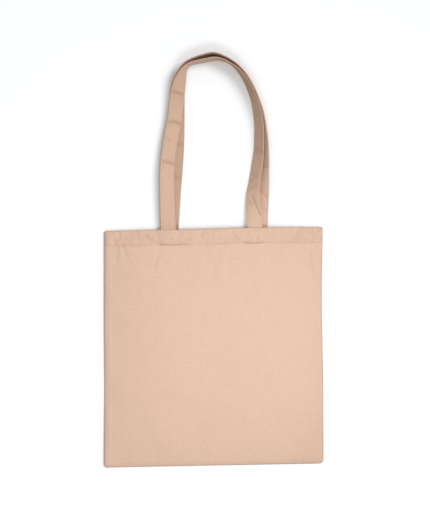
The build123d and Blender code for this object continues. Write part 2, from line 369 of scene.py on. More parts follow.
def on_table(u, v):
    """Where a point of a flat panel lies on the table, with the corners rounded and the bag's slight lean."""
    side, low, high = HALF_WIDTH, 0.0, BODY_HEIGHT
    x, y = np.array(u, dtype=float), np.array(v, dtype=float)
    for sx in (-1, 1):
        for base, sy, radius in ((low, -1, BOTTOM_CORNER), (high, 1, MOUTH_CORNER)):
            cx, cy = sx * (side - radius), base - sy * radius
            dx, dy = (x - cx) * sx, (y - cy) * sy
            corner = (dx > 0) & (dy > 0)
            longest = np.maximum(np.abs(dx), np.abs(dy))
            scale = np.where(corner, longest / np.maximum(np.hypot(dx, dy), 1e-9), 1.0)
            x = np.where(corner, cx + (x - cx) * scale, x)
            y = np.where(corner, cy + (y - cy) * scale, y)
    up = y / BODY_HEIGHT
    # The sides aren't quite straight: the right one is drawn in above its middle
    to_right, to_left = soft_step(x, 60, HALF_WIDTH), soft_step(-x, 60, HALF_WIDTH)
    waist = 2.2 * bell(y - 285.0, 95.0) * to_right
    belly = (0.5 + 1.3 * (1 - up)) * to_right - (0.5 + 0.5 * (1 - up)) * to_left
    x = x - waist + belly + 0.8
    return x, y + MOUTH_Y - BODY_HEIGHT + (1 - up) * LEAN_LOW * x + up * mouth_climb(x)


def seam_distance(u, v):
    return np.minimum(np.minimum(HALF_WIDTH - u, HALF_WIDTH + u), v)


def roll_down(d):
    """0 at the seam, rising in a quarter round to 1."""
    t = np.clip(d / ROLL, 0, 1)
    return np.sqrt(np.maximum(1 - (1 - t) ** 2, 0))


def lifted_edge(u, v):
    """How far the left side's seam curls up off the table, above and below its middle."""
    return 1.9 * bell(HALF_WIDTH + u, 15.0) * (1 - 0.9 * bell(v - 140, 75.0))


def strap_print(u, v):
    """1 over the front strap's two sewn ends behind the hem, 0 elsewhere, with soft edges."""
    down = BODY_HEIGHT - v
    found = np.zeros(np.shape(u))
    for inner, sign in ((LEFT_ROOT, -1), (RIGHT_ROOT, 1)):
        middle = inner + sign * STRAP_WIDTH / 2
        across = 1 - soft_step(np.abs(u - middle), STRAP_WIDTH / 2 + 0.4, STRAP_WIDTH / 2 + 2.8)
        found = np.maximum(found, across * (1 - soft_step(down, TAB_LENGTH + 0.2, TAB_LENGTH + 2.6)))
    return found


def front_base(u, v):
    """The front panel's height before any wrinkle."""
    across = np.clip(np.abs(u) / HALF_WIDTH, 0, 1)
    up = np.clip(v / BODY_HEIGHT, 0, 1)
    rise = (1 - across**3) * (1 - (1 - up) ** 3)
    crown = CROWN * rise * (1 - MOUTH_SETTLE * up**6)
    rounded = EDGE_ROUND * (1 - np.exp(-seam_distance(u, v) / 6.5))
    return FRONT_EDGE_RISE + MOUTH_EXTRA * up**8 + rounded + crown


def smoothed(heights):
    """Heights on a grid, each averaged with its neighbours."""
    padded = np.pad(heights, 1, mode="edge")
    rows = (padded[:-2] + 2 * padded[1:-1] + padded[2:]) / 4
    return (rows[:, :-2] + 2 * rows[:, 1:-1] + rows[:, 2:]) / 4


def settled_cloth(columns=64, rows=70):
    """How far the front panel moves when it is let go, in mm, on a coarse grid: cut a little larger than its
    seams allow and pressed unevenly, it swells into soft folds. The solver works in metres."""
    u, v = np.meshgrid(np.linspace(-HALF_WIDTH, HALF_WIDTH, columns), np.linspace(0, BODY_HEIGHT, rows))
    start = front_base(u, v)
    pressed = 0.9 * ripple(u / 40, v / 40, 3.0, octaves=3) * np.clip(seam_distance(u, v) / 20, 0, 1)
    index = np.arange(rows * columns).reshape(rows, columns)
    corners = np.stack([index[:-1, :-1], index[:-1, 1:], index[1:, 1:], index[1:, :-1]], axis=-1)
    points = np.stack([u, v, start + pressed], axis=-1) * MM
    mesh = bpy.data.meshes.new("settling")
    mesh.from_pydata(points.reshape(-1, 3).tolist(), [], corners.reshape(-1, 4).tolist())
    sheet = bpy.data.objects.new("settling", mesh)
    bpy.context.scene.collection.objects.link(sheet)
    sewn = sheet.vertex_groups.new(name="sewn")
    sewn.add(np.unique(np.concatenate([index[0], index[:, 0], index[:, -1]])).tolist(), 1.0, "REPLACE")
    cloth = sheet.modifiers.new("cloth", "CLOTH").settings
    canvas = {
        "vertex_group_mass": "sewn", "quality": 8, "mass": 0.02, "air_damping": 2.0,
        "tension_stiffness": 30.0, "compression_stiffness": 30.0, "shear_stiffness": 8.0,
        "tension_damping": 10.0, "compression_damping": 10.0, "shear_damping": 10.0,
        "bending_stiffness": 12.0, "bending_damping": 1.0, "shrink_min": -0.0016, "shrink_max": -0.0016,
    }
    for key, value in canvas.items():
        setattr(cloth, key, value)
    cloth.effector_weights.gravity = 0.0
    for step in range(1, 31):
        bpy.context.scene.frame_set(step)
    settled = sheet.evaluated_get(bpy.context.evaluated_depsgraph_get()).to_mesh()
    places = np.empty(rows * columns * 3)
    settled.vertices.foreach_get("co", places)
    bpy.data.objects.remove(sheet, do_unlink=True)
    bpy.context.scene.frame_set(1)
    lift = places.reshape(rows, columns, 3)[..., 2] / MM - start
    for _ in range(4):
        lift = smoothed(lift)
    return np.clip(0.5 * (lift - lift.mean()), -1.6, 1.6)


SETTLED = settled_cloth()


def settled_lift(u, v):
    """The settled cloth's lift at places of the flat panel."""
    rows, columns = SETTLED.shape
    column = np.clip((u + HALF_WIDTH) / (2 * HALF_WIDTH), 0, 1) * (columns - 1)
    row = np.clip(v / BODY_HEIGHT, 0, 1) * (rows - 1)
    i, j = np.minimum(column.astype(int), columns - 2), np.minimum(row.astype(int), rows - 2)
    p, q = column - i, row - j
    low = SETTLED[j, i] * (1 - p) + SETTLED[j, i + 1] * p
    high = SETTLED[j + 1, i] * (1 - p) + SETTLED[j + 1, i + 1] * p
    return low * (1 - q) + high * q


# Creases in the front panel: lines on the table, their width and their depth. The first two are pulled by
# the straps' sewn ends.
CREASES = (
    ([(-122, 197), (-112, 187), (-102, 182.5), (-92, 178), (-76, 176.5), (-59, 178), (-43, 179)], 1.4, 1.5),
    ([(32, 204), (38, 192), (46, 183.5), (58, 180.5), (74, 180), (94, 182)], 1.4, 1.4),
    ([(171, 209), (174, 196), (172, 176)], 1.6, 1.0),
    ([(-168, 205), (-162, 192), (-167, 180)], 2.2, 1.1),
    ([(-150, 195), (-160, 178), (-148, 150)], 3.2, 0.9),
    ([(-138, 206), (-131, 196), (-136, 184)], 2.2, 1.0),
    ([(-88, 172), (-100, 150), (-104, 126)], 3.8, 0.8),
    ([(12, 172), (6, 140), (-4, 112)], 6.0, 0.7),
    ([(166, 170), (172, 140), (176, 112)], 3.4, 1.1),
    ([(-174, 190), (-166, 168), (-170, 140)], 2.8, 0.8),
    ([(130, 205), (138, 192), (133, 181)], 2.0, 0.9),
    ([(-12, 204), (-20, 194), (-16, 182)], 2.0, 0.8),
)


def in_hem(v):
    """1 over the hem, 0 below it."""
    return 1 - soft_step(BODY_HEIGHT - v, HEM_DEPTH - 1.2, HEM_DEPTH + 1.2)


def hem_folds(u, v):
    """The hem's buckling, in mm, and how sharply it is creased. It buckles on a slant, each fold with one
    sharp side, and crumples between."""
    x, y = on_table(u, v)
    uneven = in_hem(v) * (0.7 + 0.6 * ripple(x / 45, y / 45, 33.0))
    buckle = ripple(x / 12 - y / 22, y / 60, 31.0)
    crumple = bell(ripple(x / 15 + y / 50, y / 17, 37.0), 0.10) + bell(ripple(x / 9, y / 21, 39.0), 0.08)
    sharp = uneven * (0.7 * bell(buckle - 0.05, 0.12) + 0.4 * crumple)
    return uneven * (0.9 * buckle + 0.2 * ripple(x / 8 + y / 9, y / 13, 35.0)) - 0.6 * sharp, sharp


def front_painted_shade(u, v):
    """How much the front panel's cloth is darkened: painted shade in its creases, in the hem's folds and
    along its fine pleats.
    """
    x, y = on_table(u, v)
    streaks = bell(ripple(x / 7 - y / 30, y / 34, 57.0), 0.12)
    shade_and_tone = 0.22 * hem_folds(u, v)[1] * (1 - 0.6 * soft_step(-u, 140, 175)) + 0.10 * in_hem(v) * streaks
    for points, width, depth in CREASES:
        shade_and_tone = shade_and_tone + 0.24 * depth / width * fold_line(x, y, points, width)
    return shade_and_tone


def front_wrinkles(u, v):
    """How far the front panel's folds and creases lift it, or draw it down."""
    x, y = on_table(u, v)
    d = seam_distance(u, v)
    down = BODY_HEIGHT - v
    near_mouth = 1 - soft_step(down, 20, 170)

    wave = settled_lift(u, v) + 0.60 * ripple(x / 92, y / 100, 3.1) + 0.30 * ripple(x / 37, y / 41, 7.7)
    wave = wave + 0.22 * ripple(x / 17, y / 19, 11.3) + 0.09 * ripple(x / 8, y / 8, 5.2)
    # Shallow folds that run down from the mouth
    wave = wave + near_mouth * 0.50 * ripple(x / 24 + y / 160, y / 120, 21.0)
    # Small puckers that the side and bottom seams gather
    along = np.where(v < np.minimum(HALF_WIDTH - u, HALF_WIDTH + u), u, v)
    wave = wave + 0.34 * ripple(along / 11, d / 14, 41.0) * (1 - soft_step(d, 3, 24)) * soft_step(d, 0, 3)

    # The seam allowance inside lifts a band along the edge
    wave = wave - 0.42 * soft_step(d, SEAM_TURN - 0.6, SEAM_TURN + 3.4)
    # Three layers of cloth in the hem, drawn down along its stitching
    wave = wave + hem_folds(u, v)[0] + 0.5 * in_hem(v) - 0.34 * bell(down - HEM_STITCH, 1.1)
    wave = wave + 0.14 * ripple(x / 3.4, y * 0, 51.0) * bell(down - HEM_STITCH, 4.5)
    for points, width, depth in CREASES:
        wave = wave - depth * fold_line(x, y, points, width)
        shifted = [(px + 1.3 * width, py + 1.1 * width) for px, py in points]
        wave = wave + 0.35 * depth * fold_line(x, y, shifted, 1.4 * width)
    # A pressed line from the folded bag, right of the middle
    return wave + 0.16 * bell(x - 83, 2.2) * soft_step(down, 30, 60) * (1 - soft_step(down, 200, 300))


def front_height(u, v):
    """The front panel's outer surface over the table. Over the straps' sewn ends the hem lies on them."""
    d = seam_distance(u, v)
    base = SEAM_Z + 0.12 + roll_down(d) * (front_base(u, v) - 0.1)
    free = base + lifted_edge(u, v) + front_wrinkles(u, v) * soft_step(d, 0, ROLL)
    printed = strap_print(u, v)
    resting = FRONT_ROUTE[0][2] + STRAP_THICK + HEM_THICK + 0.2
    return free + printed * (np.maximum(resting - free, 0) + 0.25)


def back_depth(u, v):
    """How far the back panel's outer surface is from the table: very little, except where it rolls up to the
    seam and along its lifted left edge."""
    d = seam_distance(u, v)
    lift = (SEAM_Z - 0.12) * (1 - roll_down(d))
    x, y = on_table(u, v)
    return lift + lifted_edge(u, v) + 0.08 * (1 + ripple(x / 45, y / 45, 61.0)) * soft_step(d, 0, 6)


def layer_thickness(v):
    """One layer of cloth, and three in the hem."""
    down = BODY_HEIGHT - v
    return CLOTH + (HEM_THICK - CLOTH) * (1 - soft_step(down, HEM_DEPTH - 0.5, HEM_DEPTH + 0.5))


def panel_grid():
    """Places across and up a panel, closer together at its edges and at the hem's edge."""
    us = spaced(-HALF_WIDTH, HALF_WIDTH, 2.4)
    hem = BODY_HEIGHT - HEM_DEPTH
    offsets = np.array([-4, -2.6, -1.6, -0.9, -0.4, 0, 0.4, 0.9, 1.5, 2.1, 2.6, 3.2, 4.2])
    vs = spaced(0.0, BODY_HEIGHT - HEM_THICK / 2, 2.6)
    vs = vs[(vs < hem + offsets[0] - 1) | (vs > hem + offsets[-1] + 1)]
    vs = np.sort(np.concatenate([vs, hem + offsets]))
    return np.meshgrid(us, vs)


def drawn_back(u, v):
    """How far the front's mouth is drawn back from the straps, beside each of them."""
    gap = 1.3 * bell(u - LEFT_ROOT - 3.0, 2.4) + 0.9 * bell(u - RIGHT_ROOT - STRAP_WIDTH - 4.8, 5.0)
    return gap * soft_step(v, BODY_HEIGHT - 12, BODY_HEIGHT)


def panel(name, height, facing, finish):
    """A panel as one closed sheet: its outer face, the fold at the mouth, the hem and the inner face.
    facing is 1 where the outer face looks up, -1 where it looks down."""
    u, v = panel_grid()
    x, y = on_table(u, v)
    if facing > 0:
        y = y - drawn_back(u, v)
    outer = np.stack([x, y, height(u, v)], axis=2)
    normal = normals_of(outer) * facing
    thick = layer_thickness(v)[..., None]
    inner = outer - normal * thick
    nearest = outer[..., 2] - 0.05 * facing
    inner[..., 2] = np.minimum(inner[..., 2], nearest) if facing > 0 else np.maximum(inner[..., 2], nearest)
    d = seam_distance(u, v)
    # Painted shade along the seams and the mouth's edge, where the cloth turns over
    edge = 1 - soft_step(np.minimum(d, BODY_HEIGHT - v), 0.3, 2.0)

    # The fold at the mouth: half round, from the outer face to the hem's inner face
    rows, flat, darkening = [], [], []
    last_out, last_in = outer[-1], inner[-1]
    middle = (last_out + last_in) / 2
    radius = np.linalg.norm(last_out - last_in, axis=1, keepdims=True) / 2
    up = normal[-1]
    ahead = np.cross(up, np.gradient(last_out, axis=0))
    ahead = ahead / np.linalg.norm(ahead, axis=1, keepdims=True) * facing
    for turn in np.linspace(0, math.pi, 7)[1:-1]:
        rows.append(middle + up * radius * math.cos(turn) + ahead * radius * math.sin(turn))
        flat.append(np.stack([u[-1], v[-1] + HEM_THICK / 2 * turn], axis=1))
        darkening.append(np.full(u.shape[1], 0.9))

    grid = np.concatenate([outer, np.array(rows), inner[::-1]])
    inner_flat = np.stack([u, 2 * BODY_HEIGHT + HEM_THICK - v], axis=2)[::-1]
    layout = np.concatenate([np.stack([u, v], axis=2), np.array(flat), inner_flat])
    # The mouth's fold takes the painted edge shade, and the inner face less of it
    edge = np.concatenate([edge, np.array(darkening), edge[::-1] * 0.6])
    height_rows, columns = grid.shape[:2]
    index = np.arange(height_rows * columns).reshape(height_rows, columns)

    faces = []
    for a, b in zip(index, np.roll(index, -1, axis=0)):
        faces += [(a[i], a[i + 1], b[i + 1], b[i]) for i in range(columns - 1)]
    # Close both sides: each outer row against its own inner row, and the last three at the mouth's fold
    for column in (0, columns - 1):
        loop = index[:, column]
        middle_row = height_rows // 2
        faces += [(loop[j], loop[j + 1], loop[-2 - j], loop[-1 - j]) for j in range(middle_row - 1)]
        faces.append(tuple(loop[middle_row - 1 : height_rows - middle_row + 1]))
    faces = [tuple(int(i) for i in face) for face in faces]
    piece = add_piece(name, grid.reshape(-1, 3), faces, finish, uv=layout.reshape(-1, 2))
    # Painted shade: darker along the seams where the cloth rolls down to them, less so at the top left
    # corner, and darker in the bottom right corner; a little darker over the hem
    less_shaded = soft_step(-u, 120, 175) * soft_step(v, 330, 385)
    panel_shade = 0.16 * np.exp(-d / 8.0) * (1 - 0.9 * less_shaded) + 0.03 * in_hem(v)
    panel_shade = panel_shade + 0.16 * soft_step(u, 90, 185) * (1 - soft_step(v, 15, 130))
    if facing > 0:
        panel_shade = panel_shade + front_painted_shade(u, v)
    set_attribute(piece, "shade_and_tone", np.concatenate([panel_shade, np.zeros((len(rows), columns)), panel_shade[::-1]]))
    set_attribute(piece, "edge", edge)
    right_way_out(piece)
    return piece


def right_way_out(piece):
    """Turn a closed piece's faces outwards."""
    shape = bmesh.new()
    shape.from_mesh(piece.data)
    bmesh.ops.recalc_face_normals(shape, faces=shape.faces)
    shape.to_mesh(piece.data)
    shape.free()


def held_at_sides(piece):
    reach = HALF_WIDTH - 2.0
    free = 98.0  # out to here from the middle; the weights made from it are not used
    -reach * MM
    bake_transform(piece)
    x = np.array([abs(p.co.x) for p in piece.data.vertices]) / MM
    weights = soft_step(-x, -reach, -free)


front_cloth = panel("front_cloth", front_height, 1, CANVAS)
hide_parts("front_panel")
held_at_sides(front_cloth)
PANEL_CUT = (2 * (HALF_WIDTH + SEAM_TURN) * MM, (BODY_HEIGHT + 2 * HEM_DEPTH + SEAM_TURN) * MM)

back_cloth = panel("back_cloth", back_depth, -1, CANVAS)
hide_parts("back_panel")
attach(back_cloth, "back")


# ---------------------------------------------------------------- the two straps


def through(route, step):
    """A smooth curve through a route's points, at about even steps: rows of x, y, height, lean."""
    knots = [0.0]
    for p, q in zip(route, route[1:]):
        knots.append(knots[-1] + math.dist(p[:3], q[:3]))
    table = np.array(route, dtype=float)
    last = len(route) - 1
    before = [max(i - 1, 0) for i in range(last + 1)]
    after = [min(i + 1, last) for i in range(last + 1)]
    gaps = np.array([knots[a] - knots[b] for a, b in zip(after, before)])[:, None]
    slopes = (table[after] - table[before]) / gaps
    rows = []
    for t in np.linspace(0, knots[-1], round(knots[-1] / step) + 1):
        i = int(np.clip(np.searchsorted(knots, t, side="right") - 1, 0, last - 1))
        span = knots[i + 1] - knots[i]
        w = (t - knots[i]) / span
        rows.append(
            (2 * w**3 - 3 * w**2 + 1) * table[i]
            + (w**3 - 2 * w**2 + w) * span * slopes[i]
            + (3 * w**2 - 2 * w**3) * table[i + 1]
            + (w**3 - w**2) * span * slopes[i + 1]
        )
    return np.array(rows)


ACROSS_POINTS = 15  # of a strap's sheet, from edge to edge


def strap_lines(route, sheer):
    """The strap as a sheet of no thickness: the place along it of each cross-section, and the points from its
    inner to its outer edge. sheer(s) slants its lines of equal lean, so that a fold runs across it at an
    angle: it is how far the lean at the outer edge runs ahead of that at the inner one, in mm."""
    rows = through(route, STRAP_STEP)
    base = np.column_stack([rows[:, 0], MOUTH_Y + mouth_climb(rows[:, 0]) + rows[:, 1], rows[:, 2]])
    steps = np.linalg.norm(np.diff(base, axis=0), axis=1)
    s = np.concatenate([[0], np.cumsum(steps)])
    ahead = np.gradient(base, axis=0)
    ahead[:2], ahead[-2:] = (0, 1, 0), (0, -1, 0)
    ahead /= np.linalg.norm(ahead, axis=1, keepdims=True)
    outward = np.column_stack([-ahead[:, 1], ahead[:, 0], np.zeros(len(s))])
    outward /= np.linalg.norm(outward, axis=1, keepdims=True)
    across_steps = np.linspace(0, 1, ACROSS_POINTS)
    shift = np.array([sheer(value) for value in s])[:, None] * (across_steps[None, :] - 0.5)
    lean = np.radians(np.interp(s[:, None] + shift, s, rows[:, 3]))
    grid = np.zeros((len(s), len(across_steps), 3))
    step = STRAP_WIDTH / (len(across_steps) - 1)
    grid[:, 0] = base
    for i in range(1, len(across_steps)):
        mid = (lean[:, i - 1] + lean[:, i]) / 2
        way = outward * np.cos(mid)[:, None] + np.array([0, 0, 1]) * np.sin(mid)[:, None]
        grid[:, i] = grid[:, i - 1] + way * step
    return s, grid


def strap_section():
    """Round the folded strap: place across it (0 to 1), height from its middle in half thicknesses, and how
    much the cloth is darkened there with painted shade, most in the line where the outer edge's two folds
    meet. The inner edge is a closed fold, and the outer one is where two folded edges meet."""
    inset, groove = EDGE_STITCH / STRAP_WIDTH, 0.74
    rim = [(0.02, 0.80, 0.1), (0.045, 0.98, 0.0)]
    rim += [(inset - 0.022, 1.0, 0), (inset, groove, 0), (inset + 0.022, 1.0, 0)]
    upper = rim + [(t, 1.06, 0) for t in np.linspace(0.2, 0.8, 7)]
    upper += [(1 - t, h, w) for t, h, w in reversed(rim)]
    outer_edge = [(0.996, 0.50, 0.1), (1.0, 0.26, 0.3), (0.983, 0.03, 1.0)]
    outer_edge += [(t, -h, w) for t, h, w in reversed(outer_edge)]
    lower = [(t, -h, w) for t, h, w in reversed(upper)]
    inner_edge = [(0.003, -0.45, 0.2), (0.0, 0.0, 0.4), (0.003, 0.45, 0.2)]
    return upper + outer_edge + lower + inner_edge


def strap_surface(s, grid, seed, pressed):
    """The sheet with its sewn ends added, dented by handling and folded along the pressed lines, and its
    normals, out of the face that the strap's thickness is built towards."""
    step = np.linspace(STRAP_STEP, TAB_LENGTH, 11)
    first = grid[0][None] - np.array([0, 1, 0]) * step[::-1, None, None]
    last = grid[-1][None] - np.array([0, 1, 0]) * step[:, None, None]
    whole = np.concatenate([first, grid, last])
    along = np.concatenate([-step[::-1], s, s[-1] + step])
    across = np.linspace(0, STRAP_WIDTH, grid.shape[1])[None, :]
    loose = soft_step(along, 4, 30) * (1 - soft_step(along, s[-1] - 30, s[-1] - 4))
    dents = 0.50 * ripple(along[:, None] / 30, across / 26, seed)
    dents = (dents + 0.26 * ripple(along[:, None] / 11, across / 7, seed + 9)) * loose[:, None]
    spread = np.broadcast_arrays(along[:, None], across)
    for points, width, depth in pressed:
        dents = dents - depth * fold_line(*spread, points, width, tip=4.0)
    whole = whole - normals_of(whole) * dents[..., None]
    whole[..., 2] = np.maximum(whole[..., 2], 0.3)
    return along, whole, -normals_of(whole)


def tube_faces(rows, columns):
    """The faces of a closed tube of sections, one after another, closed at both ends."""
    index = np.arange(rows * columns).reshape(rows, columns)
    faces = []
    for a, b in zip(index[:-1], index[1:]):
        faces += [(a[i], a[(i + 1) % columns], b[(i + 1) % columns], b[i]) for i in range(columns)]
    faces += [index[0][::-1], index[-1]]
    return [tuple(int(i) for i in face) for face in faces]


def strap_tone_and_shade(side):
    """How much the strap's cloth is darkened at each place along it: on the left legs partly its own tone and
    partly painted shade, and painted shade most round the arch's right side and the right leg's inner face.
    """
    left, right = (0.28, 0.05) if side == "front" else (0.60, 0.0)
    inner, turn = (0.55, 1.1) if side == "front" else (0.0, 0.5)

    def shade(along):
        legs = left + (right - left) * soft_step(along, 250, 560) + 0.15 * bell(along - 250, 36.0)
        # Painted shade on the arch's right side and the right leg's inner face, which are turned from the
        # light
        return legs + turn * bell(along - 390, 60.0) + inner * bell(along - 500, 80.0)

    return shade


def strap_shade_and_tone(side, pressed, along, across):
    """How much a strap's cloth is darkened at places along and across it: its tone and painted shade along
    it, and painted shade in its pressed folds. Its outer edge is left almost without it."""
    along, across = np.broadcast_arrays(along, across)
    shade_and_tone = strap_tone_and_shade(side)(along)
    for points, width, depth in pressed:
        # Painted shade in the pressed folds
        shade_and_tone = shade_and_tone + 0.30 * depth * fold_line(along, across, points, 1.5 * width, tip=3.0)
    return shade_and_tone * (1 - 0.9 * soft_step(across, STRAP_WIDTH * 0.94, STRAP_WIDTH * 0.995))


def across_at(t, places, lines):
    """The points of a strap's lines at one place across it, 0 to 1."""
    return np.array([[np.interp(t, places, line[:, c]) for c in range(3)] for line in lines])


def strap(name, along, whole, normal, finish, shade_and_tone):
    """The folded strap as one closed tube around its sheet, closed at both sewn ends."""
    section = strap_section()
    places = np.linspace(0, 1, whole.shape[1])
    rings, layout, darkening = [], [], []
    for t, h, w in section:
        at, up = across_at(t, places, whole), across_at(t, places, normal)
        rings.append(at + up * (h + 1) * STRAP_THICK / 2)
        flat = t * STRAP_WIDTH if h >= 0 else -t * STRAP_WIDTH
        layout.append(np.column_stack([np.full(len(along), flat), along]))
        darkening.append(np.full(len(along), w))
    points = np.stack(rings, axis=1)
    rows, columns = points.shape[:2]
    faces = tube_faces(rows, columns)
    uv = np.stack(layout, axis=1).reshape(-1, 2)
    piece = add_piece(name, points.reshape(-1, 3), faces, finish, uv=uv)
    set_attribute(piece, "edge", np.stack(darkening, axis=1))
    across = np.array([part[0] for part in section]) * STRAP_WIDTH
    set_attribute(piece, "shade_and_tone", shade_and_tone(along[:, None], across[None, :]))
    right_way_out(piece)
    return piece


def front_sheer(s):
    """The front strap's right leg folds on a slant where it rises off the mouth."""
    return 30.0 * float(soft_step(s, 560, 610))


def back_sheer(s):
    """The back strap's right leg does the same, less steeply."""
    return 18.0 * float(soft_step(s, 560, 610))


def folds_over(piece):
    """A piece of a strap has its placement baked into its points."""
    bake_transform(piece)


# Folds pressed across the straps, each dented and darkened with painted shade: lines as places along and
# across one, their width and their depth
FRONT_PRESSED = (
    ([(114, 0), (117, 26)], 2.2, 1.6),
    ([(184, 0), (187, 14), (183, 26)], 2.4, 1.8),
    ([(236, 0), (240, 26)], 2.2, 1.6),
    ([(4, 0), (5, 26)], 1.4, 0.6),
    ([(150, 12), (158, 26)], 2.0, 0.6),
    ([(606, 11), (646, 25)], 1.6, 1.7),
    ([(612, 4), (628, 12)], 2.0, 0.7),
    ([(588, 0), (567, 19)], 1.7, 1.1),
    ([(577, 0), (559, 15)], 1.7, 0.8),
    ([(600, 2), (584, 20)], 1.6, 0.9),
    ([(524, 0), (530, 26)], 2.6, 0.7),
    ([(470, 0), (466, 26)], 2.4, 0.6),
)
BACK_PRESSED = (
    # The first two are mostly painted shadow, at the back strap's roots where the mouth's edge overhangs it
    ([(-3, 0), (9, 4)], 2.4, 3.4),
    ([(670.0, 12), (669.8, 30)], 1.1, 4.0),
    ([(90, 0), (94, 26)], 2.6, 0.6),
    ([(150, 0), (147, 26)], 2.4, 0.6),
    ([(206, 0), (209, 26)], 2.4, 0.6),
    ([(600, 0), (622, 26)], 2.0, 1.0),
    ([(636, 0), (644, 26)], 2.0, 0.7),
    ([(560, 0), (566, 26)], 2.4, 0.6),
)

strap_sheets = {}
for side, route, sheer, seed, pressed in (
    ("front", FRONT_ROUTE, front_sheer, 71.0, FRONT_PRESSED),
    ("back", BACK_ROUTE, back_sheer, 83.0, BACK_PRESSED),
):
    s, lines = strap_lines(route, sheer)
    strap_sheets[side] = strap_surface(s, lines, seed, pressed)
    darkened = functools.partial(strap_shade_and_tone, side, pressed)
    piece = strap(f"{side}_strap", *strap_sheets[side], STRAP_CANVAS, darkened)
    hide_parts(f"{side}_handle", f"{side}_left_tab", f"{side}_right_tab")
    folds_over(piece)
    length = float(strap_sheets[side][0][-1] - strap_sheets[side][0][0])


# ---------------------------------------------------------------- stitching


SIX = [(math.cos(math.tau * turn / 6), math.sin(math.tau * turn / 6)) for turn in range(6)]
# A stitch, from one end to the other: place along it, thickness, and height over the cloth in radii
STITCH = [(-0.5, 0.15, -0.75), (-0.42, 0.8, 0.05), (-0.2, 1.0, 0.6)]
STITCH += [(-place, thickness, height) for place, thickness, height in reversed(STITCH)]


def add_thread(points, faces, path, radii, aside):
    """Six-sided thread along a short path, added to points and faces. aside is never the path's own
    direction."""
    path = np.asarray(path)
    ahead = np.gradient(path, axis=0)
    ahead = ahead / np.linalg.norm(ahead, axis=1, keepdims=True)
    first = np.cross(ahead, aside)
    first = first / np.linalg.norm(first, axis=1, keepdims=True)
    second = np.cross(first, ahead)
    start = len(points)
    for centre, radius, p, q in zip(path, radii, first, second):
        points.extend(centre + radius * (p * c + q * d) for c, d in SIX)
    faces.extend(tuple(start + i for i in face) for face in tube_faces(len(path), 6))


def thread_piece(name, points, faces, finish):
    piece = add_piece(name, points, faces, finish)
    right_way_out(piece)
    return piece


def stitch_rows(name, rows, finish, length=2.4, pitch=3.1, radius=0.2):
    """Rows of separate stitches: each row is a line of places, and the direction out of the cloth at each.
    A stitch's two ends bend down into the cloth."""
    points, faces = [], []
    for places, outs in rows:
        places, outs = np.asarray(places), np.asarray(outs)
        steps = np.concatenate([[0], np.cumsum(np.linalg.norm(np.diff(places, axis=0), axis=1))])
        count = max(int(steps[-1] / pitch), 1)
        for n in range(count):
            at = (n + 0.5) * steps[-1] / count + np.array([part[0] for part in STITCH]) * length
            here = np.column_stack([np.interp(at, steps, places[:, c]) for c in range(3)])
            out = np.column_stack([np.interp(at, steps, outs[:, c]) for c in range(3)])
            out = out / np.linalg.norm(out, axis=1, keepdims=True)
            lift = np.array([part[2] for part in STITCH])[:, None] * radius
            add_thread(points, faces, here + out * lift, [radius * part[1] for part in STITCH], out)
    return thread_piece(name, points, faces, finish)


def panel_line(height, u0, u1, down, out, lift=0.07):
    """A straight row across a panel, so far below the mouth, lying on a surface of it."""
    u = np.linspace(u0, u1, int(abs(u1 - u0)))
    v = np.full(len(u), BODY_HEIGHT - down)
    x, y = on_table(u, v)
    return np.column_stack([x, y, height(u, v) + lift]), np.tile(out, (len(u), 1))


def on_back_inside(u, v):
    return back_depth(u, v) + layer_thickness(v)


UP = (0, 0, 1)
front_row = panel_line(front_height, -HALF_WIDTH + 3, HALF_WIDTH - 3, HEM_STITCH, UP)
front_hem_stitch = stitch_rows("front_hem_rows", [front_row], SEWING_THREAD)
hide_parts("front_hem_stitch")
held_at_sides(front_hem_stitch)

tab_left, tab_right = BACK_ROUTE[0][0], BACK_ROUTE[-1][0]
spans = (
    (-HALF_WIDTH + 6, tab_left - STRAP_WIDTH - 1),
    (tab_left + 1, tab_right - 1),
    (tab_right + STRAP_WIDTH + 1, HALF_WIDTH - 6),
)
back_rows = [panel_line(on_back_inside, start, end, HEM_STITCH, UP) for start, end in spans]
back_hem_stitch = stitch_rows("back_hem_rows", back_rows, SEWING_THREAD)
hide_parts("back_hem_stitch")
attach(back_hem_stitch, "back")

for side, (along, whole, normal) in strap_sheets.items():
    places = np.linspace(0, 1, whole.shape[1])
    loop = (along > -1) & (along < along[-1] - TAB_LENGTH + 1)
    for row, t in (("inner", EDGE_STITCH / STRAP_WIDTH), ("outer", 1 - EDGE_STITCH / STRAP_WIDTH)):
        at, up = across_at(t, places, whole[loop]), across_at(t, places, normal[loop])
        upper = (at + up * STRAP_THICK * 0.89, up)
        lower = (at + up * STRAP_THICK * 0.11, -up)
        name = f"{side}_strap_{row}_rows"
        piece = stitch_rows(name, [upper, lower], SEWING_THREAD, radius=0.19)
        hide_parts(f"{side}_handle_{row}_stitch")
        folds_over(piece)


def across_strap(side, at):
    """A row across a strap's upper face, at a place along it."""
    along, whole, normal = strap_sheets[side]
    j = int(np.argmin(np.abs(along - at)))
    t, places = np.linspace(0.06, 0.94, 24), np.linspace(0, 1, whole.shape[1])
    line = np.column_stack([np.interp(t, places, whole[j, :, c]) for c in range(3)])
    up = np.column_stack([np.interp(t, places, normal[j, :, c]) for c in range(3)])
    return line + up * STRAP_THICK * 1.02, up


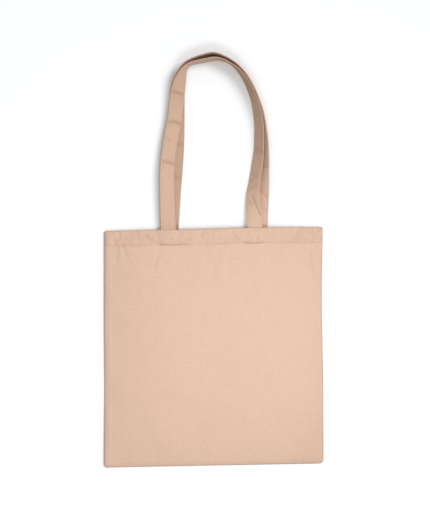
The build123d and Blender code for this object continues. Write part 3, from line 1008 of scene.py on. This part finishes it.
strap_end = float(strap_sheets["back"][0][-1]) - TAB_LENGTH
for side, inner in (("left", LEFT_ROOT), ("right", RIGHT_ROOT)):
    start, end = sorted((inner, inner + math.copysign(STRAP_WIDTH, inner)))
    rows = [panel_line(front_height, start + 1, end - 1, down, UP) for down in (4.5, 22.5)]
    piece = stitch_rows(f"front_{side}_tack_rows", rows, SEWING_THREAD)
    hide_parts(f"front_{side}_tack")
    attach(piece, "front")
    ends = (-4.5, -22.0) if side == "left" else (strap_end + 4.5, strap_end + 22.0)
    rows = [across_strap("back", at) for at in ends]
    piece = stitch_rows(f"back_{side}_tack_rows", rows, SEWING_THREAD)
    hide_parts(f"back_{side}_tack")
    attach(piece, "back")


# ---------------------------------------------------------------- the seam turned inside

LOCK_PITCH = 2.4


def inside(edge, a, d, over):
    """A place on the seam's turned edge: a along the seam, d in from it, and over above the back cloth."""
    a, d, over = np.broadcast_arrays(np.asarray(a, dtype=float), d, over)
    u, v = (a, d) if edge == "bottom" else ((HALF_WIDTH - d) * (-1 if edge == "left" else 1), a)
    x, y = on_table(u, v)
    curl = 0.5 * soft_step(d, 3, 9) * (1 + ripple(a / 21, d * 0, 91.0))
    return np.stack([x, y, on_back_inside(u, v) + curl + over], axis=-1)


def seam_span(edge):
    """Where along a seam its turned edge starts and ends."""
    if edge == "bottom":
        return -HALF_WIDTH + SEAM_TURN + 6, HALF_WIDTH - SEAM_TURN - 6
    return SEAM_TURN + 6, BODY_HEIGHT - HEM_DEPTH - 1


def allowance(edge):
    """The two raw edges of the panels, lying together inside along one seam."""
    top = 0.08 + 2 * CLOTH
    section = [(d, top) for d in (1.2, 2.5, 4.0, 5.5, 7.0, 8.3)] + [(8.85, top - 0.25), (8.85, 0.33)]
    section += [(d, 0.08) for d in (8.3, 7.0, 5.5, 4.0, 2.5, 1.2)]
    a = np.arange(*seam_span(edge), 3.5)
    d, over = np.array(section).T
    points = inside(edge, a[:, None], d[None, :], over[None, :])
    layout = np.stack(np.broadcast_arrays(d + (over < 0.5) * 20, a[:, None]), axis=-1)
    faces = tube_faces(len(a), len(section))
    name = f"{edge}_seam_allowance"
    piece = add_piece(name, points.reshape(-1, 3), faces, CANVAS, uv=layout.reshape(-1, 2))
    right_way_out(piece)
    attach(piece, "back")
    return name


def overlock(edge):
    """Thread looped round the raw edges: slanting legs over the top and down round the edge, and the needle's
    row."""
    points, faces = [], []
    top = 0.08 + 2 * CLOTH
    start, end = seam_span(edge)
    along = (1.0, 0.0, 0.0) if edge == "bottom" else (0.0, 1.0, 0.0)
    loop = ((0.0, 4.4, top - 0.1), (0.15, 4.7, top + 0.2), (0.7, 6.8, top + 0.22), (1.15, 8.7, top + 0.16),
            (1.25, 9.12, top - 0.3), (1.25, 9.1, 0.35), (1.3, 8.6, 0.02))
    for a in np.arange(start + 1, end - LOCK_PITCH, LOCK_PITCH):
        forth = [inside(edge, a + p, d, over) for p, d, over in loop]
        back = [inside(edge, a + LOCK_PITCH - 0.15 - p * 0.6, d, over) for p, d, over in loop]
        for path in (forth, back):
            add_thread(points, faces, path, (0.05, 0.14, 0.17, 0.17, 0.17, 0.15, 0.05), along)
        needle = ((0.2, -0.1), (0.5, 0.2), (1.9, 0.2), (2.2, -0.1))
        row = [inside(edge, a + p, 4.6, top + over) for p, over in needle]
        add_thread(points, faces, row, (0.05, 0.16, 0.16, 0.05), UP)
    return thread_piece(f"{edge}_overlock_loops", points, faces, OVERLOCK_THREAD)


for edge in ("left", "right", "bottom"):
    allowance(edge)
    piece = overlock(edge)
    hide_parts(f"{edge}_overlock")
    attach(piece, "back")
    a = np.arange(*seam_span(edge), 2.0)
    row = inside(edge, a, 1.7, 0.1 + 2 * CLOTH)
    seam_row = (row, np.tile(UP, (len(a), 1)))
    piece = stitch_rows(f"{edge}_seam_rows", [seam_row], SEWING_THREAD)
    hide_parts(f"{edge}_seam_stitch")
    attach(piece, "back")


# ---------------------------------------------------------------- floor, light and camera

bpy.ops.object.select_all(action="DESELECT")
bpy.ops.mesh.primitive_plane_add(size=12.0, location=(0, 0, -0.0003))
floor = bpy.context.object
floor.name = "floor"
paper = Finish("paper", roughness=0.9, specular=0.1)
# A little darker round the bag, as much as the lamp above it lights the paper more there
east, north, _ = paper.split(paper.add("ShaderNodeTexCoord", output=3))
east, north = east - 0.08, north - 0.03
lit_more = (1.0 + 2.8 * (east * east + north * north)).power(-2.0)
tone = (1.0 + 0.32 * lit_more).power(-1.0)
paper.finish({"Base Color": paper.blend_colours(tone, (0.0, 0.0, 0.0, 1.0), (0.97, 0.985, 1.0, 1.0))})
floor.data.materials.append(paper.material)

world = bpy.data.worlds.new("studio")
bpy.context.scene.world = world
world.use_nodes = True
world.node_tree.nodes["Background"].inputs["Color"].default_value = (1.0, 1.0, 1.0, 1.0)
# It lights the bag with less than the white that it shows beyond the paper
SKY_LIGHT = 0.61
seen = world.node_tree.nodes.new("ShaderNodeLightPath")
strength = world.node_tree.nodes.new("ShaderNodeMath")
strength.operation = "MULTIPLY_ADD"
strength.inputs[1].default_value = 1.0 - SKY_LIGHT
strength.inputs[2].default_value = SKY_LIGHT
world.node_tree.links.new(seen.outputs["Is Camera Ray"], strength.inputs[0])
world.node_tree.links.new(strength.outputs[0], world.node_tree.nodes["Background"].inputs["Strength"])


def lamp_over(name, watts, size, x, y, height):
    """A round lamp straight above a place on the table, in metres, which it lights more than what lies around
    it."""
    lamp = bpy.data.lights.new(name, "AREA")
    lamp.shape, lamp.size, lamp.energy = "DISK", size, watts
    holder = bpy.data.objects.new(name, lamp)
    holder.location = (x, y, height)
    bpy.context.scene.collection.objects.link(holder)


def sun(name, strength, spread, azimuth, elevation):
    """A soft distant light from a compass direction, counted from +X towards +Y, in degrees."""
    lamp = bpy.data.lights.new(name, "SUN")
    lamp.energy = strength
    lamp.angle = math.radians(spread)
    holder = bpy.data.objects.new(name, lamp)
    a, e = math.radians(azimuth), math.radians(elevation)
    towards = Vector((math.cos(a) * math.cos(e), math.sin(a) * math.cos(e), math.sin(e)))
    holder.rotation_euler = towards.to_track_quat("Z", "Y").to_euler()
    bpy.context.scene.collection.objects.link(holder)


sun("key", 1.6, 24.0, 26.0, 47.0)
lamp_over("pool", 1.7, 0.30, 0.08, 0.03, 0.6)

CAMERA_HEIGHT = 2.2
FIELD = 0.924  # of the table, seen along the picture's longer side
CAMERA_X, CAMERA_Y = 0.003, 0.144
camera = bpy.data.objects.new("camera", bpy.data.cameras.new("camera"))
camera.location = (CAMERA_X, CAMERA_Y, CAMERA_HEIGHT)
camera.data.sensor_width = 36.0
camera.data.lens = camera.data.sensor_width * CAMERA_HEIGHT / FIELD
bpy.context.scene.collection.objects.link(camera)
bpy.context.scene.camera = camera
bpy.context.scene.view_settings.view_transform = "Standard"
